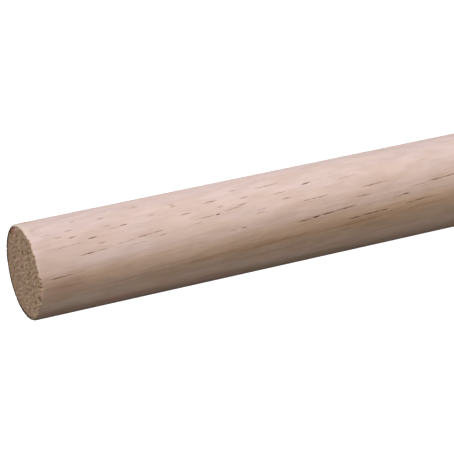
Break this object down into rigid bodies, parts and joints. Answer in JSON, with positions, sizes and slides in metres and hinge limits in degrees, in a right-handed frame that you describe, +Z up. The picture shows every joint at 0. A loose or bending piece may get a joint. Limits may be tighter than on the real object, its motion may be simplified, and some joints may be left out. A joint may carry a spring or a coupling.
{
  "type": "round rod",
  "caption": "Plain round wooden dowel rod, sawn square at both ends with lightly eased rims, for pegs, rails, rollers and handles.",
  "frame": {"origin": "centre of the foot end, on the surface that the rod stands on", "axes": "+Z runs up the rod's own axis from the foot end to the top end; X and Y are free, because the rod is round"},
  "size_m": [0.028, 0.028, 0.3],
  "materials": {
    "wood": "bare pale hardwood, moulded round and sanded, with coarse sawn end grain"
  },
  "bodies": {
    "root": {"rod": "wood"}
  },
  "joints": []
}
